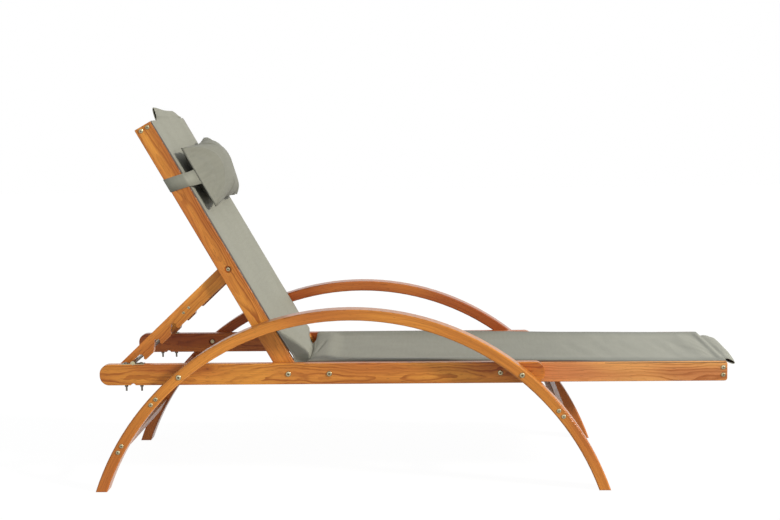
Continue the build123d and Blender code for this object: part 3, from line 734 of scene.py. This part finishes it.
# %% Cloth material
THREAD_PITCH, STITCH_PITCH = 0.0011, 0.0045
weave, start, end = new_group(
    "sage_weave",
    [
        ("Lengths", VECTOR, None), ("Tone", FLOAT, 1.0), ("Seam at", FLOAT, 1.0),
        ("Seam width", FLOAT, 0.0016), ("Wear and painted shade", FLOAT, 0.0), ("Seat end", FLOAT, 1.0),
    ],
    [("Color", COLOR), ("Height", FLOAT)],
)


def wave(value, pitch):
    """A wave with one crest in each pitch."""
    return math_node(weave, "SINE", times(weave, value, 2 * math.pi / pitch))


lengths, wear = start.outputs["Lengths"], start.outputs["Wear and painted shade"]
spread = wire(weave, "ShaderNodeSeparateXYZ", {0: lengths})
across_cloth, along_cloth = spread.outputs["X"], spread.outputs["Y"]
threads = times(weave, wave(across_cloth, THREAD_PITCH), wave(along_cloth, THREAD_PITCH))
slub = stretched_noise(weave, lengths, (14, 120, 0), 4.0).outputs["Fac"]
patches = stretched_noise(weave, lengths, (9, 7, 0), 2.0).outputs["Fac"]
half_slub = times(weave, remap(weave, slub, 0.3, 0.7), 0.5)
half_patches = times(weave, remap(weave, patches, 0.3, 0.7), 0.5)
shade = math_node(weave, "ADD", half_slub, half_patches)
color = mix_colors(weave, shade, (0.268, 0.267, 0.213, 1), (0.303, 0.300, 0.240, 1))
# a stitched line beside each edge
from_middle = math_node(weave, "ABSOLUTE", across_cloth)
beside_seam = math_node(
    weave, "ABSOLUTE", math_node(weave, "SUBTRACT", from_middle, start.outputs["Seam at"])
)
half_seam = times(weave, start.outputs["Seam width"], 0.5)
on_seam = math_node(weave, "LESS_THAN", beside_seam, half_seam)
seam = times(weave, on_seam, remap(weave, wave(along_cloth, STITCH_PITCH), -0.4, 0.2, 0.3, 0.7))
color = mix_colors(weave, seam, color, (0.10, 0.10, 0.08, 1))
# the foot of the seat is bleached; painted shade darkens a broad band along each long hem of the seat, and
# the rolled rim of the hems along the whole sling
bleached = times(weave, remap(weave, along_cloth, 0.75, 0.18, 0.0, 0.36), wear)
color = mix_colors(weave, bleached, color, (0.62, 0.62, 0.52, 1))
before_fold = math_node(weave, "SUBTRACT", start.outputs["Seat end"], along_cloth)
# painted shade: a broad darker band along each long hem, on the seat only
painted_hem_band_shade = times(
    weave, remap(weave, from_middle, 0.185, 0.262, 0.0, 0.36),
    times(weave, remap(weave, before_fold, 0.0, 0.07), wear),
)
color = mix_colors(weave, painted_hem_band_shade, color, (0.10, 0.115, 0.10, 1))
# painted shade with a painted brown reflection of the rail, on the rolled rim of each long hem
painted_rim_shade = times(weave, remap(weave, from_middle, 0.2615, 0.2655, 0.0, 0.85), wear)
color = mix_colors(weave, painted_rim_shade, color, (0.09, 0.06, 0.045, 1))
color = mix_colors(weave, 1.0, color, grey(weave, start.outputs["Tone"]), "MULTIPLY")
weave.links.new(color, end.inputs["Color"])
weave.links.new(threads, end.inputs["Height"])
print("weave group nodes", len(weave.nodes))

# %% Cloth materials
def coated_cloth(name, tone, seam_at, seam_width=0.0016, wear=0.0, seat_end=1.0):
    """A cloth material: tone scales the weave's colour, seam_at is where the stitches run, in metres
    from the middle line, wear brings in the bleached foot and the painted shade along
    the hems, and seat_end is where the painted shade of the broad hem bands stops, in metres from the foot."""
    material, tree, shader = new_material(name)
    lengths = wire(tree, "ShaderNodeUVMap", uv_map="cloth").outputs["UV"]
    placed = group_node(
        tree, weave,
        {
            "Lengths": lengths, "Tone": tone, "Seam at": seam_at, "Seam width": seam_width,
            "Wear and painted shade": wear, "Seat end": seat_end,
        },
    )
    tree.links.new(placed.outputs["Color"], shader.inputs["Base Color"])
    bump = wire(
        tree, "ShaderNodeBump", {"Height": placed.outputs["Height"], "Strength": 0.18, "Distance": 0.0002}
    )
    tree.links.new(bump.outputs["Normal"], shader.inputs["Normal"])
    shader.inputs["Roughness"].default_value = 0.6
    shader.inputs["Specular IOR Level"].default_value = 0.22
    shader.inputs["Sheen Weight"].default_value = 0.05
    return material


cloth = coated_cloth("sage_cloth", 1.0, seam_at=0.2475, wear=1.0, seat_end=1.36)
pillow_cloth = coated_cloth("sage_cloth_pillow", 0.77, seam_at=0.2395, seam_width=0.0044)
strap_cloth = coated_cloth("sage_webbing", 0.93, seam_at=1.0)
print("cloth materials ready")

# %% [markdown]
# ## The sling
# One long strip of coated weave runs from the foot bar to the head bar. Its corded long hems lie on
# the rails and stand up a little, most near the hip, and the cloth between them hangs a few
# millimetres lower. At the hip it is loose: the seat rolls down into a fold, and a tongue of the
# backrest bulges out over it. Each end goes past its bar, folds back under and is sewn down, which
# leaves an open hem like a flat tunnel.
# The strip starts as a flat grid. Each column of it gets its own list of places in the side view, and
# a smooth curve through them carries the cloth from the foot hem round the hip to the head hem.

# %% Sling shape
# half widths in metres: where the rolled hem ends on the rail, and where it begins
EDGE, RIM = 0.268, 0.2575
rail_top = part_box("seat_rail_near")[1].z * 1000
rail_end = (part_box("seat_rail_near")[1].x - hip.x) * 1000
back_face, back_length = 30.2, 893.0
seat_cloth = rail_top + 1.0


def smooth(low, high, value):
    """0 at low, 1 at high, with a soft start and end."""
    share = min(max((value - low) / (high - low), 0.0), 1.0)
    return share * share * (3 - 2 * share)


def bell(value, middle_value, width):
    """1 at the middle value, falling to nearly 0 two widths away."""
    return math.exp(-(((value - middle_value) / width) ** 2))


def seat_point(ahead_of_hip, height):
    """A point in the side view, in millimetres ahead of the hip bolt and above the floor."""
    return Vector((hip.x + ahead_of_hip / 1000, 0, height / 1000))


def back_point(along, off):
    """A point in the side view, in millimetres up the back rail and out from its middle line."""
    return hip + (up_the_back * along + off_the_back * off) / 1000


def hem_height(ahead_of_hip, y):
    """The top of the corded long hems above the floor: they stand up most near the hip, and a little
    more on the far side."""
    return seat_cloth + (9.0 + 4.0 * smooth(0.12, 0.24, y)) * smooth(1250, 350, ahead_of_hip)


def foot_hem(y):
    """The open hem past the foot bar: its far corner is rounded back and its near end droops."""
    reach = 33 + 4 * smooth(-0.10, 0.09, y) - 11 * smooth(0.14, 0.187, y) - 4 * smooth(-0.19, -0.247, y)
    drop = 1.5 + 11.0 * smooth(-0.09, -0.247, y) + 1.5 * smooth(0.12, 0.18, y)
    tip = seat_point(rail_end + reach, seat_cloth - drop)
    root = seat_point(rail_end - 3, seat_cloth)
    under = root - Vector((0, 0, 0.0035))
    belly = Vector((0, 0, 0.0026 + 0.0018 * smooth(0.1, -0.24, y)))
    return [
        under,
        under.lerp(tip, 0.4) - belly,
        under.lerp(tip, 0.85) - belly * 1.15,
        tip,
        root.lerp(tip, 0.8) + belly * 0.8,
        root.lerp(tip, 0.35) + belly,
    ]


def head_hem(y):
    """The open hem past the head bar: its near end curls forward and its far corner is rounded."""
    reach = 40 - 11 * smooth(-0.18, 0.15, y) - 24 * smooth(0.15, 0.236, y)
    lift = 10 - 9 * smooth(-0.18, 0.05, y)
    tip = back_point(back_length + reach, back_face + lift)
    root = back_point(back_length, back_face)
    under = back_point(back_length, back_face - 3.5)
    belly = off_the_back * (0.0018 + 0.0008 * smooth(0.1, -0.18, y))
    return [
        root.lerp(tip, 0.35) + belly,
        root.lerp(tip, 0.8) + belly * 0.8,
        tip,
        under.lerp(tip, 0.85) - belly * 1.15,
        under.lerp(tip, 0.4) - belly,
        under,
    ]


# distance ahead of the hip, sag of the middle, width of the hollow's side, rows up to the next
seat_places = [
    (rail_end - 3, 0.0, 0.05, 3),
    (rail_end - 13, -1.6, 0.05, 4),
    (rail_end - 27, 3.0, 0.06, 7),
    (rail_end - 60, 1.0, 0.10, 8),
    (rail_end - 140, 4.5, 0.14, 22),
    (900, 6.0, 0.12, 24),
    (540, 6.5, 0.09, 22),
    (270, 6.0, 0.06, 12),
    (195, 6.0, 0.05, 10),
]
# the same along the backrest, from the hip up
back_places = [
    (240, 4.0, 0.07, 14), (380, 5.5, 0.12, 22), (700, 5.5, 0.12, 13), (862, 2.5, 0.10, 4),
    (back_length, 0.0, 0.05, 0),
]
HIP_ROWS = [8, 6, 5, 4, 5, 5, 5, 5, 5, 5, 6, 7, 9]
HEM_ROWS = [5, 5, 3, 3, 5, 5]
row_counts = (HEM_ROWS + [place[3] for place in seat_places] + HIP_ROWS
              + [place[3] for place in back_places[:-1]] + HEM_ROWS[::-1])
first_places = len(HEM_ROWS)


def hip_fold(y):
    """The loose cloth at the hip, from the seat to the backrest. The seat rolls down into a fold that is
    deep and open on the far side, and the slack foot of the backrest swells out over it, most on the
    near side, and is drawn back to the rail at its very edge."""
    top = hem_height(60, y)
    start = 45 + 12 * smooth(0.26, -0.05, y)
    lobe = 14 + 39 * smooth(0.27, -0.13, y) * smooth(-0.264, -0.200, y)
    depth = 43 - 24 * smooth(0.25, 0.13, y)
    swell = (lobe - 12) * 0.87
    inner = smooth(0.26, 0.20, abs(y))
    gap = (start + lobe) / 2
    return [
        seat_point(start + 92, top - 6.5 * inner),
        seat_point(start + 54, top + 1.0 * inner),
        seat_point(start + 30, top - 2.0 * inner),
        seat_point(start + 12, top - 7.0 * inner),
        seat_point(start, top - 3 - 9.0 * inner),
        seat_point(start * 0.7 + gap * 0.3, top - 0.55 * depth - 2),
        seat_point(gap, top - depth),
        seat_point(lobe * 0.8 + gap * 0.2, top - 0.5 * depth),
        seat_point(lobe, top - 4),
        seat_point(lobe - 0.10 * swell - 2, top + 14),
        back_point(66, back_face + 1.5 + 0.62 * swell),
        back_point(108, back_face + 1.5 + 0.28 * swell - 1.0 * inner),
        back_point(165, back_face + 1.0 + 0.05 * swell - 2.5 * inner),
    ]


def places_across(y):
    """The curve's places at one distance from the middle. The last millimetres of each long edge roll
    down to the rail, as a hem with a cord in it does."""
    side = abs(y)
    rolled = smooth(0.2585, EDGE, side) ** 2
    column = []
    for ahead_of_hip, sag, width, _ in seat_places:
        high = hem_height(ahead_of_hip, y) - sag * smooth(RIM, RIM - width, side)
        column.append(seat_point(ahead_of_hip, high + (seat_cloth - high) * rolled))
    fold = hip_fold(y)
    for index, place in enumerate(fold[:4]):
        low = Vector((place.x, 0, seat_cloth / 1000))
        fold[index] = place.lerp(low, rolled)
    column += fold
    for along, sag, width, _ in back_places:
        raised = 2.5 * (1 - rolled) * smooth(back_length, 800, along)
        hollow = sag * smooth(RIM, RIM - width, side)
        column.append(back_point(along, back_face + raised - hollow))
    return foot_hem(y) + column + head_hem(y)


def curve_rows(places, counts):
    """Smooth rows through places, with so many rows in each stretch."""
    marks = np.cumsum([0] + list(counts))
    points = np.array(places)
    slopes = np.zeros_like(points)
    slopes[1:-1] = (points[2:] - points[:-2]) / (marks[2:] - marks[:-2])[:, None]
    slopes[0] = (points[1] - points[0]) / counts[0]
    slopes[-1] = (points[-1] - points[-2]) / counts[-1]
    rows = []
    for index, count in enumerate(counts):
        for step in range(count):
            t = step / count
            rows.append(
                (2 * t ** 3 - 3 * t ** 2 + 1) * points[index]
                + (t ** 3 - 2 * t ** 2 + t) * count * slopes[index]
                + (-2 * t ** 3 + 3 * t ** 2) * points[index + 1]
                + (t ** 3 - t ** 2) * count * slopes[index + 1]
            )
    rows.append(points[-1])
    return np.array(rows)


rim = [EDGE, 0.2672, 0.2650, 0.2615, RIM]
inner_half, inner_steps = 0.2530, 60
inner_columns = [inner_half * (2 * i / inner_steps - 1) for i in range(inner_steps + 1)]
across = [-y for y in rim] + inner_columns + rim[::-1]
COLUMNS = len(across) - 1
cloth_rows = np.array([curve_rows(places_across(y), row_counts) for y in across])
middle_rows = cloth_rows[COLUMNS // 2]
run = np.concatenate([[0], np.cumsum(np.linalg.norm(np.diff(middle_rows, axis=0), axis=1))])
print("sling rows", len(run), "columns", COLUMNS, "length", round(float(run[-1]), 4))

# %% [markdown]
# Cloth is never quite smooth. Soft ripples cross the foot half of the seat, a pull crease runs over
# the hip, and a fan of small folds leaves the far foot corner, where the hem is drawn back.

# %% Sling mesh
mark_rows = np.cumsum([0] + row_counts)


def crease(point, y, start, end, width):
    """1 on a straight line between two (distance ahead of the hip, y) places, 0 away from it."""
    here = np.array(((point.x - hip.x) * 1000, y * 1000))
    first, last = np.array(start), np.array(end)
    share = min(max(float((here - first) @ (last - first) / ((last - first) @ (last - first))), 0.0), 1.0)
    gap = float(np.linalg.norm(here - first - share * (last - first)))
    return bell(gap, 0.0, width) * math.sin(math.pi * (0.08 + 0.84 * share))


def cloth_waves(row, y, point):
    """How far the cloth stands off its smooth shape, in metres."""
    away_from_rail = smooth(0.252, 0.19, abs(y))
    ahead_of_hip = (point.x - hip.x) * 1000
    bend = 26 * math.sin(y * 9 + 0.6)
    broad = noise.noise(Vector(((ahead_of_hip + bend) / 30, y * 3.2, 0.3)))
    fine = noise.noise(Vector(((ahead_of_hip + bend) / 13, y * 7, 4.1)))
    on_seat = point.z < hip.z + 0.045
    height = 0.45 * noise.noise(Vector((row / 9, y * 11, 1.7)))
    if on_seat:
        foot = smooth(560, 1180, ahead_of_hip) * smooth(1362, 1325, ahead_of_hip)
        height += foot * (3.4 * broad + 1.4 * fine)
        height -= 3.6 * crease(point, y, (69, -98), (84, 118), 6.5)
        for fold, far_end in enumerate((1236, 1262, 1288)):
            height += 1.5 * crease(point, y, (far_end - 6, 236), (far_end + 34 - 12 * fold, 60), 8.0)
    elif point.z < hip.z + 0.16:
        height += 1.2 * noise.noise(Vector((row / 5, y * 8, 7.7)))
    return away_from_rail * height / 1000


sling_mesh = bmesh.new()
bmesh.ops.create_grid(sling_mesh, x_segments=COLUMNS, y_segments=len(run) - 1, size=0.5, calc_uvs=True)
uv_layer = sling_mesh.loops.layers.uv.new("cloth")
grid_place = {}
for vertex in sling_mesh.verts:
    column = round((vertex.co.x + 0.5) * COLUMNS)
    row = round((vertex.co.y + 0.5) * (len(run) - 1))
    grid_place[vertex.index] = (column, row)
    vertex.co = Vector(cloth_rows[column][row]) + Vector((0, across[column], 0))
sling_mesh.normal_update()
first_row, last_row = mark_rows[first_places], mark_rows[-1 - first_places]
# past this row the long edge lies on the back rails, no longer on the leg frame
back_edge_row = mark_rows[len(HEM_ROWS) + len(seat_places) + 3]
LEG_LIP, BACK_LIP, LIP_DROP = 0.0125, 0.0105, 0.0045
moves = []
for vertex in sling_mesh.verts:
    column, row = grid_place[vertex.index]
    side = abs(across[column])
    if side > RIM:
        # the hem reaches the outer corner of the rails, and hangs over it on the leg frame
        from_hip = vertex.co - hip
        from_hip.y = 0.0
        ahead_of_hip, up_back = from_hip.x * 1000, from_hip.dot(up_the_back) * 1000
        on_legs = smooth(880, 1000, ahead_of_hip) * smooth(rail_end + 3, rail_end - 4, ahead_of_hip)
        on_back = smooth(70, 150, up_back) * smooth(back_length + 3, back_length - 4, up_back)
        reach = LEG_LIP * on_legs + (BACK_LIP * on_back if row > back_edge_row else 0.0)
        vertex.co.y += math.copysign(reach * (side - RIM) / (EDGE - RIM), across[column])
        vertex.co.z -= LIP_DROP * on_legs * smooth(0.2625, EDGE, side)
    if first_row < row < last_row:
        outward = vertex.normal if vertex.normal.z > 0 else -vertex.normal
        moves.append((vertex, outward * cloth_waves(row, across[column], vertex.co)))
for vertex, move in moves:
    vertex.co += move
# the hems are narrower than the sling: near and far limit of the foot hem and of the head hem
hem_limits = ((-0.2475, 0.187), (-0.181, 0.237))
cut_away = []
for face in sling_mesh.faces:
    places = [grid_place[loop.vert.index] for loop in face.loops]
    rows = [row for _, row in places]
    sides = [across[column] for column, _ in places]
    for loop, (column, row) in zip(face.loops, places):
        loop[uv_layer].uv = (across[column], run[row])
    if max(rows) <= first_row or min(rows) >= last_row:
        near_limit, far_limit = hem_limits[0] if max(rows) <= first_row else hem_limits[1]
        if min(sides) < near_limit or max(sides) > far_limit:
            cut_away.append(face)
bmesh.ops.delete(sling_mesh, geom=cut_away, context="FACES")
for face in sling_mesh.faces:
    face.smooth = True


def thicken(piece, thickness):
    """Gives a sheet its thickness, to both sides."""
    solid = piece.modifiers.new("thickness", "SOLIDIFY")
    solid.thickness = thickness
    solid.offset = 0.0


CLOTH_THICKNESS = 0.0014
sling = new_piece("sling", sling_mesh, cloth)
thicken(sling, CLOTH_THICKNESS)
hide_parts("seat_sling", "back_sling")
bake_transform(sling, "base", "backrest", start=seat_point(60, 387), end=seat_point(-10, 440))
sling_area = sum(face.area for face in sling.data.polygons)
print("sling faces", len(sling.data.polygons), "area", round(sling_area, 4))

# %% [markdown]
# ## The head pillow
# A tube of the same cloth, sewn flat at both ends and stuffed. It is made as it is sewn: two layers
# on a grid, closed all round, pinned at the end seams and blown up by a short cloth simulation, so
# the ends stay flat, the middle swells and the cloth gathers in between. The back of it then rests
# the ends stay flat, the middle swells and the cloth gathers in between. Moves in code then press the
# back of it flat against the sling and raise the ridge that the end panels leave in the photograph.

# %% Pillow
PILLOW_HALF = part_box("pillow")[1].y
PILLOW_MIDDLE = 0.6755
seam_off = 62.0
along_steps, across_steps = 44, 84


def pillow_to_world(place):
    """From the pillow's own axes (across, up the back, off the back), in metres, to the frame."""
    return hip + Vector((0, place.x, 0)) + up_the_back * place.y + off_the_back * place.z


pillow_mesh = bmesh.new()
bmesh.ops.create_grid(pillow_mesh, x_segments=across_steps, y_segments=along_steps, size=0.5)
sewn = bmesh.ops.extrude_face_region(pillow_mesh, geom=pillow_mesh.faces[:])
front_side = {element for element in sewn["geom"] if isinstance(element, bmesh.types.BMVert)}
pillow_uv = pillow_mesh.loops.layers.uv.new("cloth")
for vertex in pillow_mesh.verts:
    u, v = 2 * vertex.co.x, 2 * vertex.co.y
    side = 1 if vertex in front_side else -1
    half_height = 0.1085 + 0.0025 * u + 0.0125 * (1 - u ** 4)
    middle_height = (675.5 + 6.0 * u) / 1000
    thick = 0.0015 + 0.012 * (1 - u ** 4) * (1 - v ** 4)
    vertex.co = Vector((u * PILLOW_HALF, middle_height + v * half_height, side * thick))
for face in pillow_mesh.faces:
    face.smooth = True
    for loop in face.loops:
        loop[pillow_uv].uv = (loop.vert.co.x, loop.vert.co.y)
bmesh.ops.recalc_face_normals(pillow_mesh, faces=pillow_mesh.faces[:])
pillow = new_piece("head_pillow", pillow_mesh, pillow_cloth)
ends = pillow.vertex_groups.new(name="end_seams")
ends.add([v.index for v in pillow.data.vertices if abs(v.co.x) > PILLOW_HALF - 0.004], 1.0, "REPLACE")
swollen = np.array([v.co for v in pillow.data.vertices])

# %% Stuff the pillow
STUFFING_FRAMES = 32
swelling = pillow.modifiers.new("swell", "CLOTH")
settings = swelling.settings
settings.quality = 5
settings.mass = 0.05
settings.tension_stiffness = 15
settings.compression_stiffness = 15
settings.shear_stiffness = 4
settings.bending_stiffness = 0.1
settings.shrink_min = -0.045
settings.use_pressure = True
settings.uniform_pressure_force = 5.0
settings.effector_weights.gravity = 0.0
settings.vertex_group_mass = "end_seams"
swelling.collision_settings.use_collision = False
for frame_number in range(1, STUFFING_FRAMES + 1):
    scene.frame_set(frame_number)
evaluated = pillow.evaluated_get(bpy.context.evaluated_depsgraph_get())
swollen = np.array([v.co for v in evaluated.data.vertices])
pillow.modifiers.remove(swelling)
scene.frame_set(1)
print("pillow stuffed to", round(float(swollen[:, 2].max() - swollen[:, 2].min()), 4), "thick")

# the stuffing stands out in front and is pressed nearly flat behind, where it lies on the sling
crown, resting = 0.1365, 0.0305
front_share = (crown - seam_off / 1000) / float(swollen[:, 2].max())
rear_share = (seam_off / 1000 - resting) / float(-swollen[:, 2].min())
for vertex, place in zip(pillow.data.vertices, swollen):
    place = Vector([float(c) for c in place])
    if place.z > 0:
        thin_foot = 1 - 0.17 * smooth(0.715, 0.615, place.y)
        u, v = place.x / PILLOW_HALF, (place.y - PILLOW_MIDDLE) / 0.098
        past_ridge = abs(u) - (1 - 0.60 * max(1 - abs(v) ** 2.2, 0.0))
        relief = 0.0045 * bell(past_ridge, 0.0, 0.05) - 0.0095 * bell(past_ridge, 0.18, 0.13)
        relief -= 0.016 * bell(u, 0.72, 0.12) * smooth(0.35, 0.95, v)
        place.y += 0.006 * smooth(0.70, 1.0, u) * smooth(0.45, 1.0, v)
        place.z = seam_off / 1000 + place.z * front_share * thin_foot
        place.z += relief * smooth(1.0, 0.86, abs(u)) * smooth(1.02, 0.8, abs(v))
    else:
        open_end = smooth(PILLOW_HALF, PILLOW_HALF * 0.5, abs(place.x))
        place.z = seam_off / 1000 + place.z * rear_share * (0.35 + 0.8 * open_end)
    place.z = max(place.z, resting)
    vertex.co = pillow_to_world(place)
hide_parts("pillow")
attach(pillow, "pillow")

# %% Pillow straps
# across, off the back, shift up the back and half width: the first in metres, the others in
# millimetres. The webbing runs up the rail a little as it goes back, and widens to the pillow.
WEBBING_THICKNESS = 0.0016
strap_middle = 673.0
strap_path = [
    (PILLOW_HALF - 0.002, seam_off, 0, 25), (0.2655, 43.0, 4, 23.5), (0.2790, 31.6, 8, 22.5),
    (0.2803, 28.5, 8.5, 22.5), (0.2804, 0.0, 15, 22.5), (0.2803, -28.0, 21, 22.5),
    (0.2785, -30.0, 21.5, 22.5), (0.262, -30.2, 22, 22.5),
]


def make_strap(name, side):
    """Webbing from the pillow's end seam over the rail's front edge and round behind it."""
    mesh = bmesh.new()
    uv = mesh.loops.layers.uv.new("cloth")
    start = [
        mesh.verts.new((y * side, (strap_middle + shift - half) / 1000, off / 1000))
        for y, off, shift, half in strap_path
    ]
    edges = [mesh.edges.new(pair) for pair in zip(start, start[1:])]
    wide = bmesh.ops.extrude_edge_only(mesh, edges=edges)
    moved = [element for element in wide["geom"] if isinstance(element, bmesh.types.BMVert)]
    for vertex in moved:
        gaps = [
            abs(place[0] - abs(vertex.co.x)) + abs(place[1] / 1000 - vertex.co.z) for place in strap_path
        ]
        vertex.co.y += 2 * strap_path[gaps.index(min(gaps))][3] / 1000
    for face in mesh.faces:
        face.smooth = True
        for loop in face.loops:
            loop[uv].uv = (loop.vert.co.y, loop.vert.co.x + loop.vert.co.z)
    for vertex in mesh.verts:
        vertex.co = pillow_to_world(vertex.co)
    strap = new_piece(name, mesh, strap_cloth)
    thicken(strap, WEBBING_THICKNESS)
    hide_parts("pillow_strap_near" if side < 0 else "pillow_strap_far")
    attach(strap, "pillow")


make_strap("strap_near", -1)
make_strap("strap_far", 1)
print("pillow and straps ready")

# %% Give the hidden CAD cloth parts the cloth
for name in ("seat_sling", "back_sling", "pillow", "pillow_strap_near", "pillow_strap_far"):
    dress(name, cloth)
